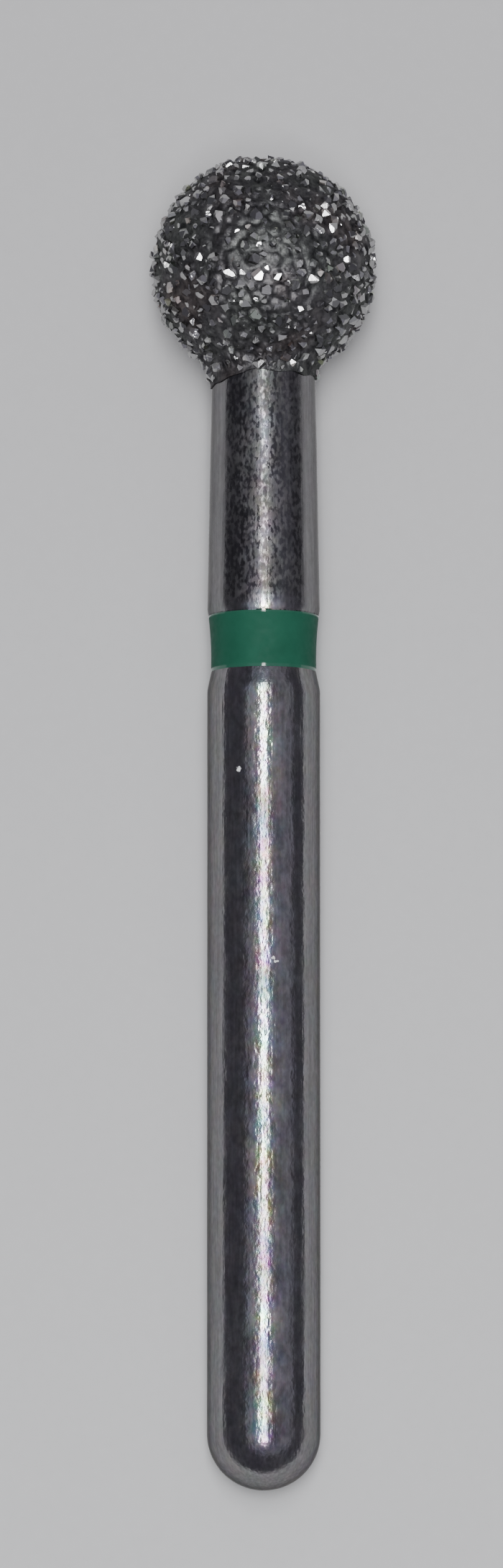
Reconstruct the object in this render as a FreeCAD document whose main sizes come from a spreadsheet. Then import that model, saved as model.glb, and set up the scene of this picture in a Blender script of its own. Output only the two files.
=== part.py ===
# Ball-headed diamond bur with a friction-grip shank, in millimetres.
#
# The steel blank is turned in one piece: a round-ended shank, a shallow seat for the grit-code ring, a neck
# that tapers towards the head, and a ball. Nickel is plated over the ball and a little way down the neck, and
# locks a single layer of blocky diamond crystals, which stand on the steel and out of the nickel.
#
# The bur turns about Z. The origin is the tip of the shank's round end, and the head is at the top.
import FreeCAD
import Part
import Sketcher

import itertools
import math
import os
import random

# The driving dimensions, each the size that a drawing of the bur would give
SIZES = {
    "overall_length": 19.0,  # tip of the shank to the top of the grit
    "shank_diameter": 1.6,
    "shank_length": 11.31,  # tip of the shank to the shoulder of the ring seat
    "shoulder_length": 0.34,  # slope from the shank down to the ring seat
    "shoulder_round": 0.5,  # radius that blends the shank into that slope
    "seat_depth": 0.075,  # how far under the shank the ring seat lies, at the foot of that slope
    "seat_length": 0.73,  # long hollow from there up to the neck
    "ring_thickness": 0.02,  # lacquer, flush with the neck at its upper edge
    "neck_tip_diameter": 1.47,  # neck where it meets the ball
    "head_diameter": 3.3,  # over the grit
    "hollow_radius": 0.4,  # hollow in which the plating runs off the ball on to the neck
    "skirt_edge": 0.02,  # thickness of the plating at its lower edge
    "grit_size": 0.2,  # largest crystal, corner to corner
    "grit_exposure": 0.085,  # how far that crystal stands out of the nickel
    "grit_gap": 0.015,  # least room between two neighbouring crystals
}

# Crystal habits: how far out the three pairs of corners of an octahedron are left, where 1 leaves them whole.
# The last is cut down to a plain block.
HABITS = ((1, 1, 0.55), (1, 0.7, 0.5), (0.7, 0.7, 0.55), (0.3, 0.3, 0.35))
SMALLEST_CRYSTAL = 0.88  # as a share of grit_size
THROWS = 40  # tries at a free place, for each crystal that the plating would hold if packed square
GRIT_SEED = 11

doc = FreeCAD.newDocument("diamond_bur")


def make_sheet():
    """The spreadsheet that every sketch and feature takes its sizes from."""
    sheet = doc.addObject("Spreadsheet::Sheet", "sizes")
    for row, (name, value) in enumerate(SIZES.items(), start=1):
        sheet.set(f"A{row}", name)
        sheet.set(f"B{row}", str(value))
        sheet.setAlias(f"B{row}", name)
    doc.recompute()
    return sheet


sheet = make_sheet()


def size(name):
    """One driving dimension, read back from the sheet."""
    return float(getattr(sheet, name))


# Heights above the tip of the shank, and radii, as formulas that both the sketches and this script use
FORMULAS = {
    "shank_radius": "sizes.shank_diameter / 2",
    "seat_radius": "sizes.shank_diameter / 2 - sizes.seat_depth",
    "ring_radius": "sizes.shank_diameter / 2 - sizes.seat_depth + sizes.ring_thickness",
    "step_radius": "sizes.shank_diameter / 2 - sizes.ring_thickness",
    "neck_tip_radius": "sizes.neck_tip_diameter / 2",
    "seat_low": "sizes.shank_length + sizes.shoulder_length",
    "ring_top": "sizes.shank_length + sizes.shoulder_length + sizes.seat_length",
    "ball_height": "sizes.overall_length - sizes.head_diameter / 2",
    "bond_radius": "sizes.head_diameter / 2 - sizes.grit_exposure",
    "core_radius": "sizes.head_diameter / 2 - sizes.grit_size",
    "neck_tip_height": "sizes.overall_length - sizes.head_diameter + sizes.grit_exposure",
}


def value(name):
    """A formula worked out from the sheet, as a plain number."""
    found = sheet.evalExpression(FORMULAS[name].replace("sizes.", ""))
    return float(getattr(found, "Value", found))


def bind(constrained, name, formula):
    """Ties one named constraint of a sketch to the sheet."""
    constrained.setExpression(f"Constraints.{name}", FORMULAS.get(formula, f"sizes.{formula}"))


def origin_plane(body, role):
    return next(feature for feature in body.Origin.OriginFeatures if feature.Role == role)


def new_body(label):
    body = doc.addObject("PartDesign::Body", label)
    body.Label = label
    return body


def new_sketch(body, name):
    """A sketch in the plane through the bur's axis: across is X and up is Z."""
    sketch = body.newObject("Sketcher::SketchObject", name)
    sketch.AttachmentSupport = [(origin_plane(body, "XZ_Plane"), "")]
    sketch.MapMode = "FlatFace"
    return sketch


def add_line(sketch, start, end):
    return sketch.addGeometry(Part.LineSegment(FreeCAD.Vector(*start, 0), FreeCAD.Vector(*end, 0)))


def add_arc(sketch, centre, radius, start, end):
    """An arc from angle start to angle end, counter-clockwise."""
    circle = Part.Circle(FreeCAD.Vector(*centre, 0), FreeCAD.Vector(0, 0, 1), radius)
    return sketch.addGeometry(Part.ArcOfCircle(circle, start, end))


def join(sketch, first, first_point, second, second_point):
    sketch.addConstraint(Sketcher.Constraint("Coincident", first, first_point, second, second_point))


def join_origin(sketch, geometry, point):
    sketch.addConstraint(Sketcher.Constraint("Coincident", geometry, point, -1, 1))


def put_on_axis(sketch, geometry, point):
    sketch.addConstraint(Sketcher.Constraint("PointOnObject", geometry, point, -2))


def name_last(sketch, number, name, formula):
    sketch.renameConstraint(number, name)
    bind(sketch, name, formula)


def set_across(sketch, geometry, point, name, formula):
    """Holds a point at a radius from the bur's axis."""
    number = sketch.addConstraint(Sketcher.Constraint("DistanceX", -1, 1, geometry, point, value_of(formula)))
    name_last(sketch, number, name, formula)


def set_up(sketch, geometry, point, name, formula):
    """Holds a point at a height above the tip of the shank."""
    number = sketch.addConstraint(Sketcher.Constraint("DistanceY", -1, 1, geometry, point, value_of(formula)))
    name_last(sketch, number, name, formula)


def set_radius(sketch, geometry, name, formula):
    number = sketch.addConstraint(Sketcher.Constraint("Radius", geometry, value_of(formula)))
    name_last(sketch, number, name, formula)


def value_of(formula):
    return value(formula) if formula in FORMULAS else size(formula)


def turn(body, sketch, name, kind="PartDesign::Revolution"):
    """Turns a sketch's outline right round the bur's axis."""
    feature = body.newObject(kind, name)
    feature.Profile = sketch
    feature.ReferenceAxis = (sketch, ["V_Axis"])
    feature.Angle = 360
    sketch.Visibility = False
    doc.recompute()
    return feature


def circle_edges(shape, radius, height):
    """The names of a shape's whole circles of that radius at that height."""
    near = 1e-4
    names = []
    for number, edge in enumerate(shape.Edges, start=1):
        if edge.Degenerated or not isinstance(edge.Curve, Part.Circle):
            continue
        circle = edge.Curve
        if abs(circle.Radius - radius) < near and abs(circle.Center.z - height) < near:
            names.append(f"Edge{number}")
    return names


def make_turned_outline(body):
    """Round end, straight shank and tapered neck, up to the middle of the ball."""
    sketch = new_sketch(body, "turned_outline")
    shank = value("shank_radius")
    ring_top = value("ring_top")
    neck = value("neck_tip_radius")
    neck_tip = value("neck_tip_height")
    ball = value("ball_height")
    dome = add_arc(sketch, (0, shank), shank, -math.pi / 2, 0)
    side = add_line(sketch, (shank, shank), (shank, ring_top))
    taper = add_line(sketch, (shank, ring_top), (neck, neck_tip))
    root = add_line(sketch, (neck, neck_tip), (neck, ball))
    across = add_line(sketch, (neck, ball), (0, ball))
    axis = add_line(sketch, (0, ball), (0, 0))
    sketch.addConstraint(Sketcher.Constraint("Tangent", dome, 2, side, 1))
    join(sketch, side, 2, taper, 1)
    join(sketch, taper, 2, root, 1)
    join(sketch, root, 2, across, 1)
    join(sketch, across, 2, axis, 1)
    join(sketch, axis, 2, dome, 1)
    join_origin(sketch, axis, 2)
    put_on_axis(sketch, dome, 3)
    sketch.addConstraint(Sketcher.Constraint("Vertical", side))
    sketch.addConstraint(Sketcher.Constraint("Vertical", root))
    sketch.addConstraint(Sketcher.Constraint("Horizontal", across))
    sketch.addConstraint(Sketcher.Constraint("Vertical", axis))
    set_across(sketch, side, 2, "shank_radius", "shank_radius")
    set_up(sketch, side, 2, "ring_top", "ring_top")
    set_across(sketch, taper, 2, "neck_tip_radius", "neck_tip_radius")
    set_up(sketch, taper, 2, "neck_tip_height", "neck_tip_height")
    set_up(sketch, root, 2, "ball_height", "ball_height")
    return sketch


def make_ball_outline(body, radius_formula):
    """Half a disc, which turns into the ball."""
    sketch = new_sketch(body, "ball_outline")
    ball = value("ball_height")
    radius = value(radius_formula)
    arc = add_arc(sketch, (0, ball), radius, -math.pi / 2, math.pi / 2)
    axis = add_line(sketch, (0, ball + radius), (0, ball - radius))
    join(sketch, arc, 2, axis, 1)
    join(sketch, arc, 1, axis, 2)
    put_on_axis(sketch, arc, 3)
    put_on_axis(sketch, axis, 1)
    put_on_axis(sketch, axis, 2)
    set_radius(sketch, arc, "ball_radius", radius_formula)
    set_up(sketch, arc, 3, "ball_height", "ball_height")
    return sketch


def add_seat(sketch):
    """The ring seat's shoulder, a slope, and its long hollow, upright where it meets the slope."""
    shank, seat, step = value("shank_radius"), value("seat_radius"), value("step_radius")
    low, top = value("seat_low"), value("ring_top")
    # Radius and turn of an arc that rises from upright over this height and width
    rise, spread = top - low, step - seat
    radius = (rise**2 + spread**2) / (2 * spread)
    turned = math.asin(rise / radius)
    slope = add_line(sketch, (shank, size("shank_length")), (seat, low))
    hollow = add_arc(sketch, (seat + radius, low), radius, math.pi - turned, math.pi)
    join(sketch, slope, 2, hollow, 2)
    sketch.addConstraint(Sketcher.Constraint("Horizontal", hollow, 2, hollow, 3))
    set_across(sketch, slope, 1, "shoulder_across", "shank_radius")
    set_up(sketch, slope, 1, "shoulder_up", "shank_length")
    set_across(sketch, slope, 2, "seat_across", "seat_radius")
    set_up(sketch, slope, 2, "seat_low", "seat_low")
    set_across(sketch, hollow, 1, "step_across", "step_radius")
    set_up(sketch, hollow, 1, "ring_top", "ring_top")
    return slope, hollow


def make_seat_outline(body):
    """The metal that is turned away for the ring, out to past the shank: shoulder, hollow and a step."""
    sketch = new_sketch(body, "seat_outline")
    slope, hollow = add_seat(sketch)
    step, outside = value("step_radius"), size("shank_diameter")
    low, top = size("shank_length"), value("ring_top")
    above = add_line(sketch, (step, top), (outside, top))
    beside = add_line(sketch, (outside, top), (outside, low))
    below = add_line(sketch, (outside, low), (value("shank_radius"), low))
    join(sketch, hollow, 1, above, 1)
    join(sketch, above, 2, beside, 1)
    join(sketch, beside, 2, below, 1)
    join(sketch, below, 2, slope, 1)
    sketch.addConstraint(Sketcher.Constraint("Horizontal", above))
    sketch.addConstraint(Sketcher.Constraint("Vertical", beside))
    sketch.addConstraint(Sketcher.Constraint("Horizontal", below))
    set_across(sketch, beside, 1, "outside", "shank_diameter")
    return sketch


def make_blank():
    """The steel blank: shank, ring seat, neck and the ball under the plating."""
    body = new_body("steel_blank")
    turn(body, make_turned_outline(body), "turned_blank")
    turn(body, make_seat_outline(body), "ring_seat", "PartDesign::Groove")
    seated = turn(body, make_ball_outline(body, "core_radius"), "ball")
    blend = body.newObject("PartDesign::Fillet", "shoulder_blend")
    blend.Base = (seated, circle_edges(seated.Shape, value("shank_radius"), size("shank_length")))
    blend.setExpression("Radius", "sizes.shoulder_round")
    doc.recompute()
    return body


def make_ring():
    """The grit-code ring: lacquer in its seat, which runs out on the shoulder's slope."""
    body = new_body("code_ring")
    sketch = new_sketch(body, "ring_outline")
    slope, hollow = add_seat(sketch)
    sketch.toggleConstruction(slope)
    shank, seat = value("shank_radius"), value("seat_radius")
    low, top = value("seat_low"), value("ring_top")
    # The outside is the same arc as the seat's, moved out by the lacquer, and reaches on down to the slope
    thickness = size("ring_thickness")
    run_out = thickness * size("shoulder_length") / (shank - seat)
    inner_arc = sketch.Geometry[hollow]
    centre = (inner_arc.Center.x + thickness, low)
    reached = math.asin(run_out / inner_arc.Radius)
    outside = add_arc(sketch, centre, inner_arc.Radius, inner_arc.FirstParameter, math.pi + reached)
    edge = add_line(sketch, (value("step_radius"), top), (shank, top))
    foot = add_line(sketch, (value("ring_radius"), low - run_out), (seat, low))
    join(sketch, hollow, 1, edge, 1)
    join(sketch, edge, 2, outside, 1)
    join(sketch, outside, 2, foot, 1)
    join(sketch, foot, 2, hollow, 2)
    sketch.addConstraint(Sketcher.Constraint("Equal", outside, hollow))
    sketch.addConstraint(Sketcher.Constraint("Horizontal", outside, 3, hollow, 3))
    sketch.addConstraint(Sketcher.Constraint("Horizontal", edge))
    sketch.addConstraint(Sketcher.Constraint("PointOnObject", outside, 2, slope))
    set_across(sketch, edge, 2, "ring_top_across", "shank_radius")
    turn(body, sketch, "lacquer")
    return body


def make_bond_outline(body):
    """The outside of the plating: the ball, and the hollow in which it runs off on to the neck."""
    sketch = new_sketch(body, "bond_outline")
    ball, radius, fillet = value("ball_height"), value("bond_radius"), size("hollow_radius")
    # Where the hollow would lie if the neck had no taper, for the sketch to settle from
    edge = value("neck_tip_radius") + size("skirt_edge")
    turned = math.acos((edge + fillet) / (radius + fillet))
    edge_height = ball - (radius + fillet) * math.sin(turned)
    ball_arc = add_arc(sketch, (0, ball), radius, -turned, math.pi / 2)
    hollow = add_arc(sketch, (edge + fillet, edge_height), fillet, math.pi - turned, math.pi)
    axis = add_line(sketch, (0, ball + radius), (0, edge_height))
    bottom = add_line(sketch, (0, edge_height), (edge, edge_height))
    # The neck's own taper, and the plating's thickness on it
    neck = add_line(
        sketch,
        (value("shank_radius"), value("ring_top")),
        (value("neck_tip_radius"), value("neck_tip_height")),
    )
    thickness = add_line(sketch, (value("neck_tip_radius"), edge_height), (edge, edge_height))
    sketch.toggleConstruction(neck)
    sketch.toggleConstruction(thickness)
    join(sketch, ball_arc, 2, axis, 1)
    join(sketch, axis, 2, bottom, 1)
    join(sketch, bottom, 2, hollow, 2)
    join(sketch, thickness, 2, bottom, 2)
    put_on_axis(sketch, ball_arc, 3)
    put_on_axis(sketch, axis, 1)
    put_on_axis(sketch, axis, 2)
    sketch.addConstraint(Sketcher.Constraint("Tangent", hollow, 1, ball_arc, 1))
    sketch.addConstraint(Sketcher.Constraint("Horizontal", bottom))
    sketch.addConstraint(Sketcher.Constraint("Horizontal", thickness))
    sketch.addConstraint(Sketcher.Constraint("Horizontal", hollow, 3, hollow, 2))
    sketch.addConstraint(Sketcher.Constraint("PointOnObject", thickness, 1, neck))
    set_radius(sketch, ball_arc, "bond_radius", "bond_radius")
    set_radius(sketch, hollow, "hollow_radius", "hollow_radius")
    set_up(sketch, ball_arc, 3, "ball_height", "ball_height")
    set_across(sketch, neck, 1, "neck_root_across", "shank_radius")
    set_up(sketch, neck, 1, "neck_root_up", "ring_top")
    set_across(sketch, neck, 2, "neck_tip_across", "neck_tip_radius")
    set_up(sketch, neck, 2, "neck_tip_up", "neck_tip_height")
    number = sketch.addConstraint(
        Sketcher.Constraint("DistanceX", thickness, 1, thickness, 2, size("skirt_edge"))
    )
    name_last(sketch, number, "skirt_edge", "skirt_edge")
    return sketch


def make_bond_form():
    """The outside of the plating as one solid, and the outline that it was turned from."""
    body = new_body("bond_form")
    outline = make_bond_outline(body)
    turn(body, outline, "bond_form_solid")
    return body, outline


def make_bond(form, blank):
    """The nickel itself: its outside form with the steel blank taken out of it."""
    bond = doc.addObject("Part::Cut", "nickel_bond")
    bond.Label = "nickel_bond"
    bond.Base = form
    bond.Tool = blank
    doc.recompute()
    return bond


def make_crystal(habit):
    """An octahedron of corner radius 1, with the corners that its habit lacks taken off."""
    faces = []
    for x_corner in (-1, 1):
        for y_corner in (-1, 1):
            for z_corner in (-1, 1):
                corners = [
                    FreeCAD.Vector(x_corner, 0, 0),
                    FreeCAD.Vector(0, y_corner, 0),
                    FreeCAD.Vector(0, 0, z_corner),
                ]
                faces.append(Part.Face(Part.makePolygon(corners + corners[:1])))
    octahedron = Part.makeSolid(Part.makeShell(faces))
    block = Part.makeBox(*(2 * reach for reach in habit), FreeCAD.Vector(habit) * -1)
    crystal = octahedron.common(block)
    crystal.scale(1 / max(vertex.Point.Length for vertex in crystal.Vertexes))
    return crystal


class Plating:
    """The plating's outline in numbers, read from its settled sketch, to set crystals out on."""

    def __init__(self, outline):
        ball, hollow = outline.Geometry[:2]
        self.ball = ball.Center.y
        self.radius = ball.Radius
        self.fillet = hollow.Radius
        self.turned = hollow.LastParameter - hollow.FirstParameter
        self.fillet_centre = hollow.Center
        # A crystal's flat foot spans the hollow, and clears its bottom by the rise over half a crystal
        self.bridged = self.fillet - size("grit_size") ** 2 / (8 * self.fillet)
        self.hollow_length = self.fillet * self.turned
        self.length = self.hollow_length + self.radius * (self.turned + math.pi / 2)

    def seat(self, along, bearing):
        """A crystal's seat, this far along the outline from the skirt's edge, and the way out of the nickel."""
        if along < self.hollow_length:
            angle = along / self.fillet
            out, up = math.cos(angle), -math.sin(angle)
            across = self.fillet_centre.x - self.bridged * out
            height = self.fillet_centre.y - self.bridged * up
        else:
            angle = (along - self.hollow_length) / self.radius - self.turned
            out, up = math.cos(angle), math.sin(angle)
            across = self.radius * out
            height = self.ball + self.radius * up
        round_x, round_y = math.cos(bearing), math.sin(bearing)
        place = FreeCAD.Vector(across * round_x, across * round_y, height)
        return place, FreeCAD.Vector(out * round_x, out * round_y, up)


def scatter(plating, chance):
    """Places for the crystals, thrown at random over the plating, none nearer another than a crystal's width."""
    room = size("grit_size") + size("grit_gap")
    lowest = size("grit_size") / 2
    throws = int(THROWS * 2 * math.pi * plating.radius * (plating.length - lowest) / room**2)
    beside = list(itertools.product((-1, 0, 1), repeat=3))
    cells = {}
    places = []
    for _ in range(throws):
        seat, outward = plating.seat(chance.uniform(lowest, plating.length), chance.uniform(0, 2 * math.pi))
        # Fewer throws are kept where the plating is narrow, so that they fall evenly over its area
        if chance.random() * plating.radius > math.hypot(seat.x, seat.y):
            continue
        # Only what lies in the same cell of space, or in one beside it, can be too near
        cell = tuple(math.floor(place / room) for place in seat)
        taken = (cells.get(tuple(map(sum, zip(cell, step))), []) for step in beside)
        if all(seat.distanceToPoint(other) >= room for other in itertools.chain.from_iterable(taken)):
            cells.setdefault(cell, []).append(seat)
            places.append((seat, outward))
    return places


def random_turn(chance):
    """A rotation that favours no direction."""
    spin, side, twist = chance.random(), chance.random(), chance.random()
    return FreeCAD.Rotation(
        math.sqrt(1 - spin) * math.sin(2 * math.pi * side),
        math.sqrt(1 - spin) * math.cos(2 * math.pi * side),
        math.sqrt(spin) * math.sin(2 * math.pi * twist),
        math.sqrt(spin) * math.cos(2 * math.pi * twist),
    )


def make_grit(outline):
    """The diamonds: each stands on the steel ball, and what shows of it ends in a flat foot on the nickel."""
    chance = random.Random(GRIT_SEED)
    crystals = [make_crystal(habit) for habit in HABITS]
    grit_size = size("grit_size")
    buried = grit_size - size("grit_exposure")
    over_nickel = Part.makeBox(
        2 * grit_size, 2 * grit_size, grit_size, FreeCAD.Vector(-grit_size, -grit_size, 0)
    )
    upright = FreeCAD.Vector(0, 0, 1)
    solids = []
    for seat, outward in scatter(Plating(outline), chance):
        reach = grit_size / 2 * chance.uniform(SMALLEST_CRYSTAL, 1)
        crystal = chance.choice(crystals).copy()
        crystal.scale(reach)
        crystal.Placement = FreeCAD.Placement(upright * (reach - buried), random_turn(chance))
        shown = crystal.common(over_nickel)
        shown.Placement = FreeCAD.Placement(seat, FreeCAD.Rotation(upright, outward))
        solids.extend(shown.Solids)
    grit = doc.addObject("Part::Feature", "diamond_grit")
    grit.Label = "diamond_grit"
    grit.Shape = Part.makeCompound(solids)
    doc.recompute()
    return grit


def check(parts):
    """Stops the build where an object failed or a sub-part isn't sound."""
    for item in doc.Objects:
        if "Invalid" in item.State or "Error" in item.State:
            raise RuntimeError(f"{item.Label} failed: {item.State}")
    for part in parts:
        if part.Shape.isNull() or not part.Shape.isValid() or not part.Shape.Solids:
            raise RuntimeError(f"{part.Label} isn't a sound solid")


blank = make_blank()
ring = make_ring()
bond_form, bond_outline = make_bond_form()
bond = make_bond(bond_form, blank)
grit = make_grit(bond_outline)
parts = [blank, ring, bond, grit]
check(parts)

os.makedirs("parts", exist_ok=True)
for part in parts:
    part.Shape.exportStep(f"parts/{part.Label}.step")
    print(part.Label, len(part.Shape.Solids), "solids,", round(part.Shape.Volume, 5), "mm3")
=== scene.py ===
import itertools
import math
import random

import bpy
import numpy as np
from mathutils import Matrix, Quaternion, Vector, noise
from mathutils.kdtree import KDTree


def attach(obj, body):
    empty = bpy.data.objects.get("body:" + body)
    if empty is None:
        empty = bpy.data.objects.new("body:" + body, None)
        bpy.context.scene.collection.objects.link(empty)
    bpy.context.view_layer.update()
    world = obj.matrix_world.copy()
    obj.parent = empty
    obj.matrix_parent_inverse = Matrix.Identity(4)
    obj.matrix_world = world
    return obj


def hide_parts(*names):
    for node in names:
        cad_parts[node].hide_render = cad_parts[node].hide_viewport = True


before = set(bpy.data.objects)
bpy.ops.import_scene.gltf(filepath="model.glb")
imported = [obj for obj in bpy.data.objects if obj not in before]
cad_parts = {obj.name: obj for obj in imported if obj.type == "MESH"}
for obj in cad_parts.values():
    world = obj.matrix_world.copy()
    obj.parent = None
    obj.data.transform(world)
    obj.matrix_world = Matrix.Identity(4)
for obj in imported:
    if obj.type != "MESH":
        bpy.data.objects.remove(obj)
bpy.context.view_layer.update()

# Sizes of the bur, in metres, measured up from the tip of the shank along its axis
MM = 0.001
SHANK_RADIUS = 0.8 * MM
SHANK_TOP = 11.31 * MM  # top of the plain shank, before its edge is rounded
SHOULDER_ROUND = 0.5 * MM
SEAT_RADIUS = 0.725 * MM
SEAT_LOW = 11.65 * MM
RING_TOP = 12.38 * MM
RING_THICKNESS = 0.02 * MM
NECK_TIP_RADIUS = 0.735 * MM
NECK_TIP = 15.785 * MM
BALL = 17.35 * MM  # height of the ball's centre
CORE_RADIUS = 1.45 * MM
BOND_RADIUS = 1.565 * MM
HOLLOW_RADIUS = 0.4 * MM
SKIRT_EDGE = 0.02 * MM
LIP_RADIUS = 0.3 * MM  # the neck's lower edge is dulled, in a wide curve
LIP_TURN = math.radians(20)
END_FLAT = math.radians(2)  # the blank's two ends stop this short of the axis, in small flats

# The lacquer ring
RING_THINNING = 0.8 * RING_THICKNESS  # how much thinner it is at its top
BEAD = 0.018 * MM  # edge radius of the lacquer
BEAD_BULGE = 0.1 * BEAD  # how far the upper edge swells out
BEAD_TUCK = math.pi / 3  # how far the lower edge turns in
RING_WAVER = 0.008 * MM
RING_WAVER_LENGTH = 0.25 * MM
RING_WAVER_REACH = 0.06 * MM

# The nickel
NICKEL_SUNK = 0.03 * MM  # how much lower it lies between the crystals than the CAD model's even surface
NICKEL_ROUGH = 0.016 * MM
NICKEL_ROUGH_LENGTH = 0.075 * MM
NICKEL_ROUGH_LAYERS = (0.8, 2.1, 4)  # how fast they weaken, how fast they grow finer, and how many
NICKEL_ROUGH_RISE = 0.12 * MM  # the roughness sets in over this height above the lower edge
COLLAR_SHARE = 0.6  # a collar lies this far out, as a share of its crystal's corner radius
COLLAR_RISE = 0.03 * MM
COLLAR_WIDTH = 0.03 * MM
SKIN = 0.02 * MM  # points nearer than this to the plating's outline are on its outside
SKIRT_LOW = 15.757 * MM  # where the CAD model's nickel ends on the neck
SKIRT_BLEND = 0.5 * MM  # its unevenness dies away over this height
SKIRT_FADE = 1.5  # and by this power
SKIRT_RISE = 0.03 * MM  # how much higher the nickel ends at the front than the CAD model's
SKIRT_SAG = 0.12 * MM  # and how much lower at its left side
SKIRT_WAVER = 0.05 * MM
SKIRT_WAVER_LENGTH = 0.3 * MM

# The diamonds
GRIT_REACH = 0.125 * MM  # corner radius of the largest crystals
LARGE_SHARES = (0.8, 1.0)  # of that radius, for the crystals that the CAD model has
SMALL_SHARES = (0.5, 0.8)  # and for the small ones between them
SMALL_LOW = 0.05 * MM  # the small ones begin this far above the plating's lower edge
SMALL_THROWS = 24000
CROWDING = 0.74  # neighbours may come this near, as a share of their corner radii added up
GRIT_TOPS = (0.0, 0.08 * MM)  # how far their highest corners stand above the CAD model's nickel
SCATTER_SEED = 23
CUTTING_SEED = 7
CRYSTAL_KINDS = 14
ROUGH_CUBE = 1.3  # side of the cube that a crystal of corner radius 1 is cut from
STRUCK_CORNERS = 5
STRUCK_EDGES = 2
CUT_DEPTHS = (0.5, 0.85)
CUT_TILT = 0.22
SHORTEST_EDGE = 0.02
SQUEEZE = (0.8, 1.0)

# Crystals that lie with a face square to the small lamp, as the camera sees them on the head: how far right
# and up of the head's centre, in head radii, and how far that face is out of true
GLINTS = (
    (-0.03, -0.10, 0.0), (0.07, 0.02, 0.0), (0.17, -0.02, 0.0), (0.11, -0.12, 0.0),
    (0.32, -0.08, 0.09), (-0.24, 0.31, 0.0), (0.74, 0.35, 0.0), (0.37, -0.35, 0.0),
    (0.48, 0.37, 0.08), (-0.08, 0.21, 0.12), (-0.23, -0.04, 0.12), (-0.32, -0.08, 0.12),
    (-0.63, 0.09, 0.13), (-0.60, -0.06, 0.12), (-0.66, -0.21, 0.13), (0.15, -0.24, 0.13),
    (0.42, -0.13, 0.13), (0.21, 0.57, 0.13), (0.80, -0.05, 0.13), (0.06, 0.11, 0.12),
)
LENS_BELOW = math.radians(9.3)  # how far down the lens stands, seen from the head
TO_LENS = Vector((0, -math.cos(LENS_BELOW), -math.sin(LENS_BELOW)))
ABOVE_LENS = Vector((0, -math.sin(LENS_BELOW), math.cos(LENS_BELOW)))
GLINT_BELOW = math.radians(13)  # and the way halfway between the lens and the small lamp
TO_GLINT = Vector((0, -math.cos(GLINT_BELOW), -math.sin(GLINT_BELOW)))
GLINT_FACES = 3  # the face that glints is one of so many largest ones

TURNED_STEPS = 160  # faces round each turned piece
PLATED_STEPS = 288
END_STEPS = 28  # faces along each stretch of an outline
LENGTH_STEPS = 12
ROUND_STEPS = 6
SEAT_STEPS = 14
BEAD_STEPS = 4
CORE_STEPS = 40
INNER_STEPS = 24
PLATED_PITCH = 0.032 * MM  # from ring to ring of the plating
PLATED_POLE = 0.25 * PLATED_PITCH
MELT = 1e-8  # points nearer than this are one
BLANK_SMOOTH, RING_SMOOTH, BOND_SMOOTH = 25, 30, 80  # degrees: edges that turn less are shaded smooth


def deselect():
    if bpy.context.object and bpy.context.object.mode != "OBJECT":
        bpy.ops.object.mode_set(mode="OBJECT")
    bpy.ops.object.select_all(action="DESELECT")


def pick(piece):
    """Selects one piece alone, in object mode."""
    deselect()
    piece.select_set(True)
    bpy.context.view_layer.objects.active = piece


def settle(piece):
    """Puts a piece's place into its mesh, so that its object sits at the origin, unturned and unscaled."""
    pick(piece)
    bpy.ops.object.transform_apply(location=True, rotation=True, scale=True)
    return piece


# Outlines, as lists of (radius, height) from the shank's end upwards


def arc(centre, radius, start, end, steps):
    """Places along an arc, between two angles measured from level, outwards."""
    angles = (start + (end - start) * step / steps for step in range(steps + 1))
    return [(centre[0] + radius * math.cos(a), centre[1] + radius * math.sin(a)) for a in angles]


def straight(start, end, steps):
    shares = (step / steps for step in range(steps + 1))
    return [tuple(a + (b - a) * share for a, b in zip(start, end)) for share in shares]


def seat_arc(radius, reach_down=0.0):
    """The ring seat's long hollow, or the lacquer's outside, from its foot up to the neck."""
    rise, spread = RING_TOP - SEAT_LOW, SHANK_RADIUS - RING_THICKNESS - SEAT_RADIUS
    curve = (rise**2 + spread**2) / (2 * spread)
    turned, below = math.asin(rise / curve), math.asin(reach_down / curve)
    return arc((radius + curve, SEAT_LOW), curve, math.pi + below, math.pi - turned, SEAT_STEPS)


def shoulder():
    """The slope down to the seat, with the shank's edge rounded."""
    slope = math.atan2(SHANK_RADIUS - SEAT_RADIUS, SEAT_LOW - SHANK_TOP)
    tangent = SHOULDER_ROUND * math.tan(slope / 2)
    middle = (SHANK_RADIUS - SHOULDER_ROUND, SHANK_TOP - tangent)
    rounded = arc(middle, SHOULDER_ROUND, 0, slope, ROUND_STEPS)
    return rounded + straight(rounded[-1], (SEAT_RADIUS, SEAT_LOW), ROUND_STEPS)[1:]


def neck_radius(height):
    share = (height - RING_TOP) / (NECK_TIP - RING_TOP)
    return SHANK_RADIUS + share * (NECK_TIP_RADIUS - SHANK_RADIUS)


def core_arc(end, steps):
    """The steel ball under the plating, from where the neck meets it."""
    meets = math.sqrt(CORE_RADIUS**2 - NECK_TIP_RADIUS**2)
    return arc((0, BALL), CORE_RADIUS, -math.atan2(meets, NECK_TIP_RADIUS), end, steps)


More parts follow.
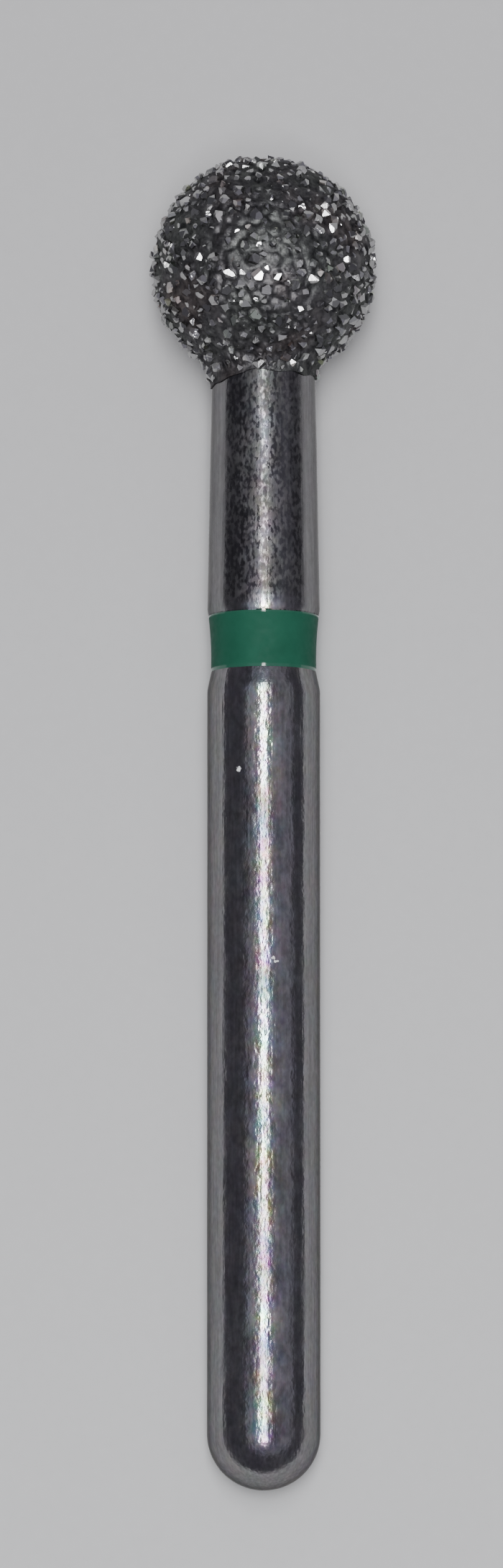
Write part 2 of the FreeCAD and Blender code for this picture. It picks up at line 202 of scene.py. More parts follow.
class Plating:
    """The outline of the plating: a hollow up from the neck, then the ball."""

    def __init__(self):
        self.edge = SHANK_RADIUS
        # The neck narrows upwards, so its radius at the skirt's edge and the edge's height settle each other
        for _ in range(6):
            rise = math.sqrt((BOND_RADIUS + HOLLOW_RADIUS) ** 2 - (self.edge + HOLLOW_RADIUS) ** 2)
            self.low = BALL - rise
            self.edge = neck_radius(self.low) + SKIRT_EDGE
        self.turned = math.acos((self.edge + HOLLOW_RADIUS) / (BOND_RADIUS + HOLLOW_RADIUS))
        self.hollow_length = HOLLOW_RADIUS * self.turned
        self.length = self.hollow_length + BOND_RADIUS * (self.turned + math.pi / 2)

    def at(self, along):
        """Radius, height and the way out of the nickel, this far along the outline from its lower edge."""
        if along < self.hollow_length:
            angle = along / HOLLOW_RADIUS
            out, up = math.cos(angle), -math.sin(angle)
            return self.edge + HOLLOW_RADIUS * (1 - out), self.low - HOLLOW_RADIUS * up, out, up
        angle = (along - self.hollow_length) / BOND_RADIUS - self.turned
        out, up = math.cos(angle), math.sin(angle)
        return BOND_RADIUS * out, BALL + BOND_RADIUS * up, out, up

    def seat(self, along, bearing):
        """A place on the plating and the way out of it there, as vectors."""
        across, height, out, up = self.at(along)
        x, y = math.cos(bearing), math.sin(bearing)
        return Vector((across * x, across * y, height)), Vector((out * x, out * y, up))

    def seat_near(self, place):
        """The place on the plating that lies nearest to a point beside it."""
        across, bearing = math.hypot(place.x, place.y), math.atan2(place.y, place.x)
        angle = math.atan2(place.z - BALL, across)
        if angle > -self.turned:
            return self.seat(self.hollow_length + BOND_RADIUS * (angle + self.turned), bearing)
        turned = math.atan2(place.z - self.low, self.edge + HOLLOW_RADIUS - across)
        return self.seat(HOLLOW_RADIUS * max(turned, 0), bearing)


def draw_along(name, outline, steps, fill_type):
    """Draws a circle or a disc along an outline, ring by ring."""
    deselect()
    radius, height = outline[0]
    bpy.ops.mesh.primitive_circle_add(
        vertices=steps, radius=radius, fill_type=fill_type, location=(0, 0, height)
    )
    piece = bpy.context.object
    piece.name = piece.data.name = name
    bpy.ops.object.mode_set(mode="EDIT")
    bpy.ops.mesh.select_all(action="SELECT")
    for next_radius, next_height in outline[1:]:
        bpy.ops.mesh.extrude_region_move(TRANSFORM_OT_translate={"value": (0, 0, next_height - height)})
        share = next_radius / radius
        bpy.ops.transform.resize(value=(share, share, 1))
        radius, height = next_radius, next_height
    bpy.ops.mesh.select_all(action="SELECT")
    return piece


def turn_up(name, outline, steps):
    """Draws a disc up through an outline, into a closed solid."""
    piece = draw_along(name, outline, steps, "NGON")
    bpy.ops.mesh.normals_make_consistent(inside=False)
    return settle(piece)


def turn_round(name, outline, steps):
    """Draws a circle round a closed outline, into a solid with a hole through it."""
    piece = draw_along(name, outline + outline[:1], steps, "NOTHING")
    bpy.ops.mesh.remove_doubles(threshold=MELT)
    bpy.ops.mesh.normals_make_consistent(inside=False)
    return settle(piece)


def smooth(piece, degrees):
    """Smooth shading over edges that turn less than the angle."""
    pick(piece)
    bpy.ops.object.shade_smooth_by_angle(angle=math.radians(degrees))


def points_of(piece):
    places = np.empty(len(piece.data.vertices) * 3)
    piece.data.vertices.foreach_get("co", places)
    return places.reshape(-1, 3)


def move_points(piece, places):
    piece.data.vertices.foreach_set("co", places.ravel())
    piece.data.update()


def waver(place, length):
    """A slow change round the axis, between -1 and 1."""
    return noise.noise(Vector((place[0], place[1], 0)) / length)


# The pieces


def make_blank():
    """The turned steel: round end, shank, ring seat, neck, and the ball that the plating hides."""
    end = arc((0, SHANK_RADIUS), SHANK_RADIUS, END_FLAT - math.pi / 2, 0, END_STEPS)
    shank = straight((SHANK_RADIUS, SHANK_RADIUS), shoulder()[0], LENGTH_STEPS)[1:-1]
    lip_top = RING_TOP + LIP_RADIUS * math.sin(LIP_TURN)
    lip = arc((neck_radius(lip_top) - LIP_RADIUS, lip_top), LIP_RADIUS, -LIP_TURN, 0, ROUND_STEPS)
    neck_tip = (NECK_TIP_RADIUS, NECK_TIP)
    neck = lip + straight((neck_radius(lip_top), lip_top), neck_tip, LENGTH_STEPS)[1:]
    core = core_arc(math.pi / 2 - END_FLAT, CORE_STEPS)
    outline = end + shank + shoulder() + seat_arc(SEAT_RADIUS)[1:] + neck + core
    return turn_up("turned_blank", outline, TURNED_STEPS)


def make_ring():
    """The lacquer ring, its edges brushed on a little unevenly."""
    run_out = RING_THICKNESS * (SEAT_LOW - SHANK_TOP) / (SHANK_RADIUS - SEAT_RADIUS)
    low = SEAT_LOW - run_out
    outside = seat_arc(SEAT_RADIUS + RING_THICKNESS, run_out)
    # Both outer edges are rounded, by beads that the outline takes in place of its corners
    outside = [place for place in outside if low + BEAD < place[1] < RING_TOP - BEAD]
    thinning = RING_THINNING / (RING_TOP - SEAT_LOW)
    outside = [(radius - thinning * max(0, height - SEAT_LOW), height) for radius, height in outside]
    low_bead = arc((outside[0][0] - BEAD, low + BEAD), BEAD, -BEAD_TUCK, 0, BEAD_STEPS)
    top_middle = (outside[-1][0] + BEAD_BULGE - BEAD, RING_TOP - BEAD)
    top_bead = arc(top_middle, BEAD, 0, math.pi / 2, BEAD_STEPS)
    outline = seat_arc(SEAT_RADIUS) + top_bead[::-1] + outside[::-1] + low_bead[::-1]
    ring = turn_round("code_ring_lacquer", outline, TURNED_STEPS)
    places = points_of(ring)
    for place in places:
        on_edge = max(0, 1 - abs(place[2] - low) / RING_WAVER_REACH)
        place[2] += RING_WAVER * waver(place, RING_WAVER_LENGTH) * on_edge
    move_points(ring, places)
    return ring


def islands(mesh):
    """The corner places of each loose part of a mesh, such as one crystal of the grit."""
    places = [vertex.co.copy() for vertex in mesh.vertices]
    merged, same = {}, []
    for i, place in enumerate(places):
        same.append(merged.setdefault(tuple(round(part / MELT) for part in place), i))
    leader = list(range(len(places)))

    def find(i):
        while leader[i] != i:
            leader[i] = leader[leader[i]]
            i = leader[i]
        return i

    for edge in mesh.edges:
        leader[find(same[edge.vertices[0]])] = find(same[edge.vertices[1]])
    found = {}
    for i in set(same):
        found.setdefault(find(i), []).append(places[i])
    return list(found.values())


def seat_grit(plating, chance):
    """Seats for the crystals: large ones where the CAD model has them, and small ones in the room between."""
    seats = []
    for corners in islands(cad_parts["diamond_grit"].data):
        place, outward = plating.seat_near(sum(corners, Vector()) / len(corners))
        seats.append((place, outward, GRIT_REACH * chance.uniform(*LARGE_SHARES)))
    # The seats are kept by cell, so that each throw is measured against its neighbours only
    cells = {}
    cell_width = 2 * GRIT_REACH
    beside = list(itertools.product((-1, 0, 1), repeat=3))

    def cell_of(place):
        return tuple(math.floor(part / cell_width) for part in place)

    for place, _, reach in seats:
        cells.setdefault(cell_of(place), []).append((place, reach))
    for _ in range(SMALL_THROWS):
        along = chance.uniform(SMALL_LOW, plating.length)
        place, outward = plating.seat(along, chance.uniform(0, 2 * math.pi))
        reach = GRIT_REACH * chance.uniform(*SMALL_SHARES)
        # Where the plating is narrower it takes fewer throws, so that the grit is as thick all over
        if chance.random() * BOND_RADIUS > math.hypot(place.x, place.y):
            continue
        cell = cell_of(place)
        near = (cells.get(tuple(map(sum, zip(cell, step))), []) for step in beside)
        if all((place - other).length > CROWDING * (reach + r) for other, r in itertools.chain(*near)):
            cells.setdefault(cell, []).append((place, reach))
            seats.append((place, outward, reach))
    return seats


def make_crystal(number, chance):
    """One blocky crystal of corner radius 1: a cube with five of its corners and two edges struck off."""
    deselect()
    bpy.ops.mesh.primitive_cube_add(size=ROUGH_CUBE)
    crystal = bpy.context.object
    crystal.name = f"crystal_{number}"
    bpy.ops.object.mode_set(mode="EDIT")
    corners = [Vector(signs) for signs in itertools.product((-1, 1), repeat=3)]
    edges = [Vector((0, 1, 1)), Vector((1, 0, -1)), Vector((1, -1, 0)), Vector((-1, 0, -1))]
    for cut in chance.sample(corners, STRUCK_CORNERS) + chance.sample(edges, STRUCK_EDGES):
        tilted = (cut.normalized() + CUT_TILT * noise.random_unit_vector()).normalized()
        depth = chance.uniform(*CUT_DEPTHS)
        bpy.ops.mesh.select_all(action="SELECT")
        bpy.ops.mesh.bisect(plane_co=tilted * depth, plane_no=tilted, use_fill=True, clear_outer=True)
    bpy.ops.mesh.select_all(action="SELECT")
    bpy.ops.mesh.remove_doubles(threshold=SHORTEST_EDGE)
    bpy.ops.object.mode_set(mode="OBJECT")
    squeeze = [chance.uniform(*SQUEEZE) for _ in range(3)]
    crystal.data.transform(Matrix.Diagonal(squeeze).to_4x4())
    reach = max(vertex.co.length for vertex in crystal.data.vertices)
    crystal.data.transform(Matrix.Scale(1 / reach, 4))
    return crystal


def find_glints(seats):
    """For each glint, the number of the crystal nearest to it, and how far its face is out of true."""
    glinting = {}
    for right, above, untrue in GLINTS:
        forward = math.sqrt(1 - right**2 - above**2)
        toward_glint = Vector((right, 0, 0)) + ABOVE_LENS * above + TO_LENS * forward
        place = Vector((0, 0, BALL)) + toward_glint * BOND_RADIUS
        nearest = min(range(len(seats)), key=lambda number: (seats[number][0] - place).length)
        glinting[nearest] = untrue
    return glinting


def lifted(place):
    """A place on the plating or in it, moved up or down with the nickel's uneven lower edge."""
    near_edge = max(0, 1 - (place.z - SKIRT_LOW) / SKIRT_BLEND)
    across = max(math.hypot(place.x, place.y), MELT)
    front, left = max(0, -place.y / across), max(0, -place.x / across)
    lift = SKIRT_RISE * front**2 - SKIRT_SAG * left**2 + SKIRT_WAVER * waver(place, SKIRT_WAVER_LENGTH)
    return place + Vector((0, 0, lift * near_edge**SKIRT_FADE))


def make_grit(seats, chance):
    """The diamonds. Each stands on the steel, so the large ones stand further out of the nickel."""
    noise.seed_set(CUTTING_SEED)
    kinds = [make_crystal(number, chance) for number in range(CRYSTAL_KINDS)]
    glinting = find_glints(seats)
    copies = []
    for number, (place, outward, reach) in enumerate(seats):
        copy = bpy.data.objects.new("crystal", chance.choice(kinds).data.copy())
        bpy.context.scene.collection.objects.link(copy)
        turned = Quaternion(noise.random_unit_vector(size=4)).normalized()
        if number in glinting:
            by_area = sorted(copy.data.polygons, key=lambda polygon: polygon.area)
            face = chance.choice(by_area[-GLINT_FACES:]).normal
            square = (TO_GLINT + glinting[number] * noise.random_unit_vector()).normalized()
            turned = Quaternion(square, chance.uniform(0, 2 * math.pi)) @ face.rotation_difference(square)
        copy.data.transform(turned.to_matrix().to_4x4() @ Matrix.Scale(reach, 4))
        highest = max(vertex.co.dot(outward) for vertex in copy.data.vertices)
        standing = chance.uniform(*GRIT_TOPS) - highest
        copy.data.transform(Matrix.Translation(lifted(place) + outward * standing))
        # Numbers on each face, for the material to read
        faces = len(copy.data.polygons)
        tone, tint = chance.random(), chance.random()
        facets = [chance.random() for _ in range(faces)]
        for name, values in (("tone", [tone] * faces), ("tint", [tint] * faces), ("facet", facets)):
            copy.data.attributes.new(name, "FLOAT", "FACE").data.foreach_set("value", values)
        copies.append(copy)
    pick(copies[0])
    for copy in copies:
        copy.select_set(True)
    bpy.ops.object.join()
    grit = bpy.context.object
    grit.name = grit.data.name = "diamond_crystals"
    for kind in kinds:
        bpy.data.objects.remove(kind)
    return settle(grit)


def make_bond(plating, seats):
    """The nickel: a closed shell round the steel ball, which rises in a collar round each crystal."""
    rings = int(plating.length / PLATED_PITCH)
    spread = plating.length - 2 * PLATED_POLE
    outside = [plating.at(PLATED_POLE + spread * ring / rings)[:2] for ring in range(rings + 1)]
    outside[0] = (plating.edge, plating.low)
    core = core_arc(math.pi / 2, INNER_STEPS)
    core[-1] = (PLATED_POLE, core[-1][1])
    inside = core[::-1] + [(neck_radius(plating.low), plating.low)]
    bond = turn_round("plated_nickel", outside + inside, PLATED_STEPS)
    bpy.ops.object.mode_set(mode="EDIT")
    # The two small holes left at the top of the ball, in the nickel's outside and inside
    bpy.ops.mesh.select_all(action="DESELECT")
    bpy.ops.mesh.select_non_manifold(extend=False)
    bpy.ops.mesh.edge_face_add()
    bpy.ops.object.mode_set(mode="OBJECT")
    raise_nickel(bond, plating, seats)
    return bond


def raise_nickel(bond, plating, seats):
    """Roughens the shell's outside and draws it up round the crystals."""
    tree = KDTree(len(seats))
    for number, (place, _, _) in enumerate(seats):
        tree.insert(place, number)
    tree.balance()
    places = points_of(bond)
    for place in places:
        point = Vector(place)
        seat, outward = plating.seat_near(point)
        if (point - seat).length < SKIN:
            rough = noise.fractal(point / NICKEL_ROUGH_LENGTH, *NICKEL_ROUGH_LAYERS)
            _, number, gap = tree.find(point)
            beside = max(gap - COLLAR_SHARE * seats[number][2], 0) / COLLAR_WIDTH
            height = NICKEL_ROUGH * rough - NICKEL_SUNK + COLLAR_RISE * math.exp(-(beside**2))
            point += outward * height * max(min(1, (point.z - plating.low) / NICKEL_ROUGH_RISE), 0.0)
        place[:] = lifted(point)
    move_points(bond, places)


# Materials

STEEL_SPAN = 25 * MM  # the steel's ramps along the axis run from its tip over this length
# Dust on the shank: bearing from the front, height above the tip, and radius
SPECKS = (
    (math.radians(-26), 10.11 * MM, 0.044 * MM),
    (math.radians(10), 7.44 * MM, 0.03 * MM),
    (math.radians(12.5), 7.39 * MM, 0.028 * MM),
)
SPECK_SPREAD = 0.07 * MM  # how ragged the edges of the dust are


def grey(value):
    return (value, value, value, 1)


class Nodes:
    """A node tree, with short calls for the nodes that the finishes and the room below need."""

    def __init__(self, tree):
        self.tree = tree

    def add(self, kind, **settings):
        node = self.tree.nodes.new(kind)
        for name, setting in settings.items():
            setattr(node, name, setting)
        return node

    def put(self, socket, value):
        if isinstance(value, bpy.types.NodeSocket):
            self.tree.links.new(value, socket)
        else:
            socket.default_value = value

    def fill(self, node, *values):
        """Fills a node's first sockets, in order, and hands back its outputs."""
        for socket, value in zip(node.inputs, values):
            self.put(socket, value)
        return node.outputs

    def math(self, operation, *values):
        return self.fill(self.add("ShaderNodeMath", operation=operation), *values)[0]

    def vectors(self, operation, *values):
        return self.fill(self.add("ShaderNodeVectorMath", operation=operation), *values)

    def times(self, value, *others):
        for other in others:
            value = self.math("MULTIPLY", value, other)
        return value

    def rest(self, share):
        return self.math("SUBTRACT", 1.0, share)

    def ramp(self, value, *stops):
        """Colours or greys between stops of (place, colour)."""
        node = self.add("ShaderNodeValToRGB")
        elements = node.color_ramp.elements
        while len(elements) < len(stops):
            elements.new(0.5)
        for element, (place, colour) in zip(elements, stops):
            element.position = place
            element.color = (*colour, 1) if isinstance(colour, tuple) else grey(colour)
        return self.fill(node, value)[0]

    def mix(self, share, one, other, blend="MIX"):
        node = self.add("ShaderNodeMix", data_type="RGBA", blend_type=blend)
        self.put(node.inputs[0], share)
        self.put(node.inputs[6], one)
        self.put(node.inputs[7], other)
        return node.outputs[2]

    def product(self, colour, *others):
        for other in others:
            colour = self.mix(1.0, colour, other, "MULTIPLY")
        return colour


class Finish(Nodes):
    """A material, whose patterns follow the place on the object."""

    def __init__(self, name):
        self.material = bpy.data.materials.new(name)
        self.material.use_nodes = True
        super().__init__(self.material.node_tree)
        self.shader = self.tree.nodes["Principled BSDF"]
        self.place = self.add("ShaderNodeTexCoord").outputs["Object"]

    def set(self, **values):
        for name, value in values.items():
            self.put(self.shader.inputs[name.replace("_", " ")], value)

    def pattern(self, waves, detail, roughness, coloured=False):
        """Noise with so many waves a millimetre along x, y and z."""
        node = self.add("ShaderNodeTexNoise")
        scale = tuple(count / MM for count in waves)
        self.put(node.inputs["Vector"], self.vectors("MULTIPLY", self.place, scale)[0])
        node.inputs["Scale"].default_value = 1.0
        node.inputs["Detail"].default_value = detail
        node.inputs["Roughness"].default_value = roughness
        return node.outputs[1] if coloured else node.outputs[0]

    def bump(self, height, strength, distance, below=None):
        node = self.add("ShaderNodeBump")
        self.put(node.inputs["Strength"], strength)
        node.inputs["Distance"].default_value = distance
        self.put(node.inputs["Height"], height)
        if below is not None:
            self.put(node.inputs["Normal"], below)
        return node.outputs[0]

    def height(self):
        return self.fill(self.add("ShaderNodeSeparateXYZ"), self.place)[2]

    def ramp_up(self, *stops):
        """Greys between stops of (height, grey), along the steel."""
        share = self.times(self.height(), 1 / STEEL_SPAN)
        return self.ramp(share, *((height / STEEL_SPAN, shade) for height, shade in stops))

    def stain(self):
        """Wide, faint tints that the plating and its grit share, from brown to green."""
        spread = self.pattern((1.1, 1.1, 1.1), 2, 0.5)
        return self.ramp(spread, (0.36, (0.62, 0.50, 0.44)), (0.5, 0.5), (0.64, (0.48, 0.55, 0.47)))

    def specks(self, specks):
        """1 on each of a few specks, given by bearing from the front, height and radius, and 0 elsewhere."""
        spread = self.pattern((20, 20, 20), 1, 0.5, coloured=True)
        ragged = self.vectors("MULTIPLY_ADD", spread, (SPECK_SPREAD,) * 3, self.place)[0]
        total = 0.0
        for bearing, height, radius in specks:
            x, y = SHANK_RADIUS * math.sin(bearing), -SHANK_RADIUS * math.cos(bearing)
            middle = [part + SPECK_SPREAD / 2 for part in (x, y, height)]
            gap = self.vectors("DISTANCE", ragged, middle)["Value"]
            spot = self.ramp(self.math("DIVIDE", gap, radius), (0.7, 1.0), (1.0, 0.0))
            total = self.math("ADD", total, spot)
        return total


def steel_finish():
    """Ground steel, dulled by handling: flecks and streaks, faint turning marks, painted tints and specks,
    and a painted highlight where it faces forwards.
    """
    nodes = Finish("ground_steel")
    on_neck = nodes.ramp_up((12.275 * MM, 0.0), (12.65 * MM, 1.0))
    # The band of the neck's lower lip, where it catches the light and a glint is painted into the colour
    # below
    lip_glint_band = nodes.ramp_up((12.25 * MM, 0.0), (12.3625 * MM, 1.0), (12.475 * MM, 1.0), (12.525 * MM, 0.0))
    streak = nodes.pattern((28, 28, 1.4), 1, 0.4)
    fleck = nodes.pattern((22, 22, 12), 2, 0.45)
    mottle = nodes.pattern((15, 15, 9), 2, 0.5)
    blotch = nodes.pattern((7, 7, 5), 3, 0.55)
    patch = nodes.pattern((1.5, 1.5, 1.1), 2, 0.5)
    turned = nodes.pattern((0.5, 0.5, 50), 1, 0.4)
    facing = nodes.add("ShaderNodeLayerWeight").outputs["Facing"]
    frontal = nodes.ramp(facing, (0.1, 1.0), (0.34, 0.25))
    # Painted tints in the highlight: strong only in the narrow line that mirrors the tall light
    hue = nodes.pattern((3.4, 3.4, 2.6), 3, 0.75, coloured=True)
    hue = nodes.vectors("MULTIPLY_ADD", hue, (1.5, 1.5, 1.5), (-0.25, -0.25, -0.25))[0]
    tinting = nodes.ramp(facing, (0.007, 0.8), (0.025, 0.3), (0.1, 0.08))
    tinting = nodes.product(tinting, nodes.mix(on_neck, grey(1), grey(0.4)))
    steel = nodes.mix(tinting, (0.31, 0.305, 0.315, 1), hue, "OVERLAY")
    # Grime shows where the steel faces forwards, and evens out towards its sides
    shank_mottle = nodes.ramp(mottle, (0.36, 0.74), (0.6, 1.1))
    shank_grime = nodes.mix(0.5, shank_mottle, nodes.ramp(blotch, (0.38, 0.66), (0.62, 1.16)))
    grime = nodes.mix(on_neck, shank_grime, nodes.ramp(blotch, (0.38, 0.56), (0.64, 0.8)))
    grime = nodes.mix(frontal, nodes.mix(on_neck, grey(0.9), grey(0.7)), grime)
    flecked = nodes.ramp(fleck, (0.3, 0.8), (0.7, 1.15))
    grain = nodes.mix(0.5, nodes.ramp(streak, (0.3, 0.75), (0.7, 1.15)), flecked)
    # The shank's sides mirror a little less than its middle does, and the neck's sides a little more
    shank_sides = nodes.ramp(facing, (0.28, 1.0), (0.4, 0.78), (0.75, 0.92))
    neck_sides = nodes.ramp(facing, (0.26, 0.72), (0.4, 1.0), (0.7, 0.86))
    sides = nodes.mix(on_neck, shank_sides, neck_sides)
    # Painted highlight: where the steel faces forwards its colour is brightened and darkened in patches along
    # it, so that the mirrored light looks uneven, and brightened most on the lip as a painted glint
    shank_glare_patches = nodes.ramp(patch, (0.38, 1.55), (0.62, 0.6))
    glare_patches = nodes.mix(on_neck, shank_glare_patches, nodes.ramp(patch, (0.38, 0.88), (0.62, 0.6)))
    glare = nodes.ramp(facing, (0.02, 1.0), (0.09, 0.0))
    painted_highlight = nodes.mix(glare, grey(1), nodes.mix(lip_glint_band, glare_patches, grey(2.8)))
    # The neck is duller than the shank, but for its lip
    fleck_dull = nodes.ramp(fleck, (0.4, 0.04), (0.58, 0.34))
    dull = nodes.times(on_neck, fleck_dull, frontal, nodes.rest(lip_glint_band))
    dull = nodes.math("ADD", dull, nodes.times(lip_glint_band, 0.06))
    shank_dull = nodes.ramp(patch, (0.4, 0.14), (0.62, 0.23))
    neck_dull = nodes.ramp(patch, (0.4, 0.08), (0.62, 0.2))
    roughness = nodes.math("ADD", nodes.mix(on_neck, shank_dull, neck_dull), dull)
    dust = nodes.specks(SPECKS)
    normal = nodes.bump(streak, 1.0, 0.0012 * MM)
    normal = nodes.bump(turned, 1.0, 0.0004 * MM, normal)
    normal = nodes.bump(fleck, frontal, 0.0021 * MM, normal)
    normal = nodes.bump(mottle, nodes.times(frontal, nodes.rest(on_neck)), 0.0054 * MM, normal)
    nodes.set(
        Base_Color=nodes.mix(dust, nodes.product(steel, grime, grain, sides, painted_highlight), (0.75, 0.76, 0.78, 1)),
        Specular_Tint=nodes.mix(on_neck, (0.35, 0.35, 0.34, 1), (0.6, 0.6, 0.59, 1)),
        Metallic=nodes.rest(dust),
        Roughness=nodes.math("ADD", roughness, nodes.times(dust, 0.5)),
        Normal=nodes.bump(blotch, nodes.math("ADD", 0.5, nodes.times(on_neck, 0.2)), 0.006 * MM, normal),
    )
    return nodes.material


def nickel_finish():
    """Electroplated nickel, grey and matt, in darker and paler patches."""
    nodes = Finish("plated_nickel")
    patch = nodes.pattern((7, 7, 7), 4, 0.6)
    grain = nodes.pattern((42, 42, 42), 3, 0.6)
    nickel = nodes.ramp(patch, (0.3, (0.048, 0.047, 0.051)), (0.68, (0.178, 0.175, 0.178)))
    nodes.set(
        Base_Color=nodes.mix(0.4, nickel, nodes.stain(), "OVERLAY"),
        Specular_Tint=grey(0.4),
        Metallic=1.0,
        Roughness=nodes.ramp(grain, (0.3, 0.4), (0.7, 0.58)),
        Normal=nodes.bump(grain, 0.6, 0.009 * MM),
    )
    return nodes.material


def diamond_finish():
    """Diamond: glossy facets over a grey body, each with its own depth, and now and then a tint."""
    nodes = Finish("diamond")
    names = ("tone", "tint", "facet")
    tone, tint, facet = (nodes.add("ShaderNodeAttribute", attribute_name=n).outputs["Fac"] for n in names)
    depth = nodes.math("ADD", nodes.times(tone, 0.45), nodes.times(facet, 0.55))
    body = nodes.ramp(depth, (0.3, 0.008), (0.5, 0.025), (0.65, 0.07), (0.8, 0.15), (1.0, 0.42))
    tinted = nodes.ramp(
        tint,
        (0.0, (1.0, 0.74, 0.70)),
        (0.12, (1.0, 0.97, 0.97)),
        (0.82, (0.98, 0.98, 1.0)),
        (0.94, (0.82, 1.0, 0.78)),
        (1.0, (1.0, 0.96, 0.62)),
    )
    nodes.set(
        Base_Color=nodes.mix(0.5, nodes.product(body, tinted), nodes.stain(), "OVERLAY"),
        Roughness=nodes.ramp(facet, (0.2, 0.07), (0.9, 0.26)),
        IOR=2.4,
        Specular_IOR_Level=1.0,
        Normal=nodes.bump(nodes.pattern((30, 30, 30), 1, 0.4), 1.0, 0.0016 * MM),
    )
    return nodes.material


def lacquer_finish():
    """Green lacquer, slightly uneven: matt round its middle, with a soft gloss towards both edges."""
    nodes = Finish("green_lacquer")
    cloud = nodes.pattern((3, 3, 3), 3, 0.6)
    peel = nodes.pattern((11, 11, 11), 2, 0.5)
    share = nodes.math("DIVIDE", nodes.math("SUBTRACT", nodes.height(), SEAT_LOW), RING_TOP - SEAT_LOW)
    off_middle = nodes.math("ABSOLUTE", nodes.math("SUBTRACT", share, 0.45))
    nodes.set(
        Base_Color=nodes.ramp(cloud, (0.3, (0.009, 0.072, 0.044)), (0.7, (0.013, 0.088, 0.055))),
        Specular_IOR_Level=0.15,
        Roughness=nodes.ramp(peel, (0.3, 0.55), (0.7, 0.7)),
        Coat_Weight=nodes.ramp(off_middle, (0.49, 0.0), (0.51, 1.0)),
        Coat_Roughness=0.08,
        Normal=nodes.bump(peel, 0.25, 0.003 * MM),
    )
    return nodes.material


def finish_piece(piece, material, node):
    piece.data.materials.clear()
    piece.data.materials.append(material)
    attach(piece, "root")
    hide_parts(node)


# The stage: the bur lies on a sheet of paper, which the camera looks down on

SHEET_REACH = 120 * MM
SHEET_UP = 10 * MM  # how far up the bur the sheet's middle lies
GRIT_CLEAR = 0.085 * MM  # the sheet touches the grit this far out of the nickel
# The paper's two colours paint a light falloff: lighter at the bottom, where more light falls, and darker
# towards the top
PAPER_TOP = (0.488, 0.486, 0.502)
PAPER_BOTTOM = (0.562, 0.564, 0.580)
PAPER_SPAN = 20 * MM


def make_paper():
    """A pale sheet that touches the head and the shank's end, seen only from the front."""
    lean = math.asin((BOND_RADIUS + GRIT_CLEAR - SHANK_RADIUS) / (BALL - SHANK_RADIUS))
    toward_sheet = Vector((0, math.cos(lean), -math.sin(lean)))
    touching = Vector((0, 0, SHANK_RADIUS)) + toward_sheet * SHANK_RADIUS
    deselect()
    bpy.ops.mesh.primitive_plane_add(size=2 * SHEET_REACH)
    paper = bpy.context.object
    paper.name = "paper"
    facing = (-toward_sheet).to_track_quat("Z", "Y")
    middle = touching + Vector((0, math.sin(lean), math.cos(lean))) * SHEET_UP
    paper.matrix_world = Matrix.Translation(middle) @ facing.to_matrix().to_4x4()
    settle(paper)
    nodes = Finish("paper")
    share = nodes.math("DIVIDE", nodes.height(), PAPER_SPAN)
    # Painted light: the sheet grows lighter towards the bottom
    colour = nodes.ramp(share, (0.0, PAPER_BOTTOM), (1.0, PAPER_TOP))
    grain = nodes.ramp(nodes.pattern((6, 6, 6), 3, 0.6), (0.3, 0.975), (0.7, 1.0))
    nodes.set(Base_Color=nodes.product(colour, grain), Roughness=0.9, Specular_IOR_Level=0.1)
    behind = nodes.add("ShaderNodeNewGeometry").outputs["Backfacing"]
    clear = nodes.add("ShaderNodeBsdfTransparent").outputs[0]
    either = nodes.fill(nodes.add("ShaderNodeMixShader"), behind, nodes.shader.outputs[0], clear)[0]
    nodes.put(nodes.tree.nodes["Material Output"].inputs["Surface"], either)
    paper.data.materials.append(nodes.material)
    # Light reaches the bur's back through the sheet, and the steel mirrors the bright backdrop behind it
    paper.visible_shadow = paper.visible_glossy = False


# The camera and the lights

FRAME_HEIGHT = 22.17 * MM  # what the photograph's whole height spans at the bur
CAMERA_DISTANCE = 150 * MM
CAMERA_BELOW = 6.5  # degrees that the camera stands round towards the shank's end
NEAREST_SEEN = 10 * MM
AIM = Vector((-0.172, 0, 9.98)) * MM
SENSOR = 36.0

# Each light's azimuth, elevation, distance, width, height and radiance, and whether the steel mirrors it
LIGHTS = {
    "tall_light": (0, 4.5, 320 * MM, 42 * MM, 185 * MM, 21.0, True),
    "small_lamp": (0.5, -15.7, 310 * MM, 50 * MM, 50 * MM, 28.0, True),
    "softbox": (-1, 0, 600 * MM, 180 * MM, 180 * MM, 17.4, False),
    "fill": (0, 20, 500 * MM, 700 * MM, 700 * MM, 0.45, False),
    "back_softbox": (180, 25, 500 * MM, 400 * MM, 400 * MM, 6.5, False),
}

ROOM_TINT = (0.99, 0.96, 1.13, 1)
ROOM_ON_MATT = grey(0.3)
BACKDROP = (0.645, 0.647, 0.662, 1)
BEHIND = (0, 1, 0)
# For each shade of the room: a direction's share along its axis, from and to, and the levels there
ROOM_BRIGHT_SIDE = 13  # azimuth, in degrees
ROOM_SHADE = (0.6, 0.74, 0.128, 0.35)
BACKDROP_SHADE = (-0.02, 0.02, 0.0, 0.66)
BACKDROP_MIDDLE = (0.55, 0.98, 1.0, 0.78)


def toward(azimuth, elevation):
    """A direction away from the bur: azimuth 0 is towards the front, and grows to the right."""
    a, e = math.radians(azimuth), math.radians(elevation)
    return Vector((math.sin(a) * math.cos(e), -math.cos(a) * math.cos(e), math.sin(e)))


def stand(name, data, azimuth, elevation, distance):
    """Stands a camera or a light in this direction from the bur, turned to look at it."""
    holder = bpy.data.objects.new(name, data)
    bpy.context.scene.collection.objects.link(holder)
    away = toward(azimuth, elevation)
    holder.location = AIM + away * distance
    holder.rotation_euler = (-away).to_track_quat("-Z", "Y").to_euler()
    return holder


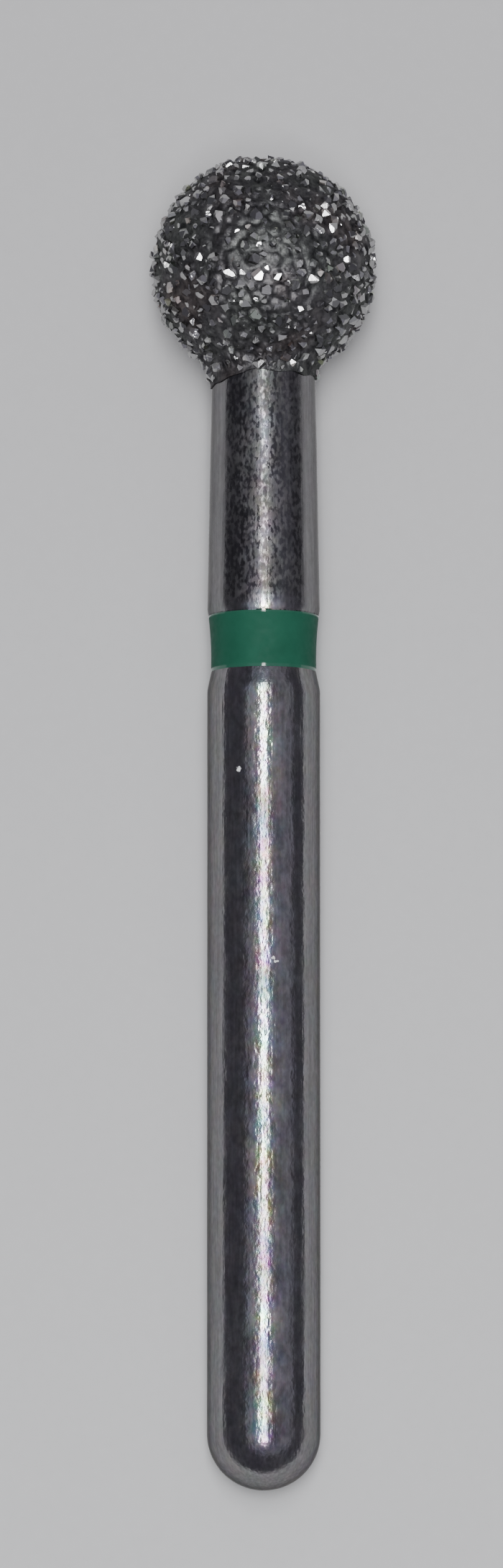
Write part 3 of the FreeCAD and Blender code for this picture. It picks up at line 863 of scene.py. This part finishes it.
def make_camera():
    camera = bpy.data.cameras.new("camera")
    camera.sensor_fit = "VERTICAL"
    camera.sensor_height = SENSOR
    camera.lens = SENSOR * CAMERA_DISTANCE / FRAME_HEIGHT
    camera.clip_start = NEAREST_SEEN
    bpy.context.scene.camera = stand("camera", camera, 0, -CAMERA_BELOW, CAMERA_DISTANCE)


def make_light(name, azimuth, elevation, distance, width, height, radiance, in_gloss):
    light = bpy.data.lights.new(name, "AREA")
    light.shape = "RECTANGLE"
    light.size, light.size_y = width, height
    light.energy = radiance * math.pi * width * height
    stand(name, light, azimuth, elevation, distance).visible_glossy = in_gloss


def make_world():
    """A dim room in front of the bur, as the steel mirrors it, and a pale backdrop behind."""
    world = bpy.data.worlds.new("studio")
    bpy.context.scene.world = world
    world.use_nodes = True
    nodes = Nodes(world.node_tree)
    direction = nodes.add("ShaderNodeTexCoord").outputs["Generated"]

    def shade_along(axis, shade):
        """One of the room's shades, smooth from its first level to its second."""
        share = nodes.vectors("DOT_PRODUCT", direction, axis)["Value"]
        spread = nodes.add("ShaderNodeMapRange", interpolation_type="SMOOTHSTEP")
        return nodes.fill(spread, share, *shade)[0]

    room = shade_along(toward(ROOM_BRIGHT_SIDE, 0), ROOM_SHADE)
    # The backdrop fills the half of the room behind the bur, and is a little darker in its middle
    backdrop = nodes.times(shade_along(BEHIND, BACKDROP_SHADE), shade_along(BEHIND, BACKDROP_MIDDLE))
    light_path = nodes.add("ShaderNodeLightPath").outputs
    tint = nodes.mix(light_path["Is Diffuse Ray"], ROOM_TINT, ROOM_ON_MATT)
    total = nodes.mix(1.0, nodes.product(tint, room), backdrop, "ADD")
    seen = nodes.mix(light_path["Is Camera Ray"], total, BACKDROP)
    nodes.put(nodes.tree.nodes["Background"].inputs["Color"], seen)


def main():
    plating = Plating()
    chance = random.Random(SCATTER_SEED)
    seats = seat_grit(plating, chance)
    blank = make_blank()
    smooth(blank, BLANK_SMOOTH)
    ring = make_ring()
    smooth(ring, RING_SMOOTH)
    bond = make_bond(plating, seats)
    smooth(bond, BOND_SMOOTH)
    grit = make_grit(seats, chance)
    finish_piece(blank, steel_finish(), "steel_blank")
    finish_piece(ring, lacquer_finish(), "code_ring")
    finish_piece(bond, nickel_finish(), "nickel_bond")
    finish_piece(grit, diamond_finish(), "diamond_grit")
    make_paper()
    make_camera()
    for name, placing in LIGHTS.items():
        make_light(name, *placing)
    make_world()


main()
